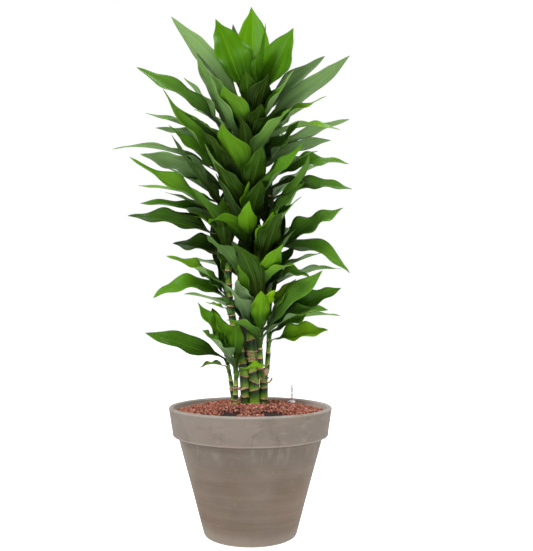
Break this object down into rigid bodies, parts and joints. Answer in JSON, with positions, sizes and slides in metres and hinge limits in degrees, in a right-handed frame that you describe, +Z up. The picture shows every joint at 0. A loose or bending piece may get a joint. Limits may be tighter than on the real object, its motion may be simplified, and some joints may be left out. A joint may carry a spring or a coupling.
{
  "type": "potted dracaena",
  "caption": "Tall bushy dracaena with several green ringed canes and lance-shaped leaves, in a round grey terracotta pot of red clay granules with a water level gauge.",
  "frame": {"origin": "centre of the pot's underside", "axes": "+Z up along the pot's axis, -Y the front, +X to the viewer's right"},
  "size_m": [0.5383, 0.4302, 1.1941],
  "materials": {
    "terracotta": "matte",
    "black_plastic": "matte",
    "granules": "matte",
    "leaf": "satin",
    "cane": "satin",
    "clear_plastic": "gloss",
    "grey_plastic": "satin",
    "red_plastic": "satin"
  },
  "bodies": {
    "planter": {"back_cane": "cane", "back_leaves_1": "leaf", "back_leaves_2": "leaf", "back_leaves_3": "leaf", "back_leaves_4": "leaf", "back_leaves_5": "leaf", "back_leaves_6": "leaf", "back_leaves_7": "leaf", "back_leaves_8": "leaf", "centre_cane": "cane", "centre_leaves_1": "leaf", "centre_leaves_2": "leaf", "centre_leaves_3": "leaf", "centre_leaves_4": "leaf", "centre_leaves_5": "leaf", "centre_leaves_6": "leaf", "centre_leaves_7": "leaf", "centre_leaves_8": "leaf", "centre_leaves_9": "leaf", "front_sucker_cane": "cane", "front_sucker_leaves_1": "leaf", "gauge_housing": "grey_plastic", "gauge_tube": "clear_plastic", "granulate": "granules", "grow_pot": "black_plastic", "inner_shoot_leaves_1": "leaf", "inner_shoot_leaves_2": "leaf", "inner_shoot_leaves_3": "leaf", "inner_shoot_leaves_4": "leaf", "left_cane": "cane", "left_leaves_1": "leaf", "left_leaves_2": "leaf", "left_leaves_3": "leaf", "left_leaves_4": "leaf", "left_leaves_5": "leaf", "left_leaves_6": "leaf", "left_leaves_7": "leaf", "left_leaves_8": "leaf", "left_sucker_cane": "cane", "left_sucker_leaves_1": "leaf", "liner": "black_plastic", "outer_shoot_leaves_1": "leaf", "outer_shoot_leaves_2": "leaf", "outer_shoot_leaves_3": "leaf", "outer_shoot_leaves_4": "leaf", "outer_shoot_leaves_5": "leaf", "pot": "terracotta", "right_cane": "cane", "root_ball": "granules"},
    "float": {"gauge_float": "red_plastic"}
  },
  "joints": [
    {"name": "float_rise", "type": "slide", "parent": "planter", "child": "float", "axis": [0, 0, 1], "range_m": [0, 0.03]}
  ]
}
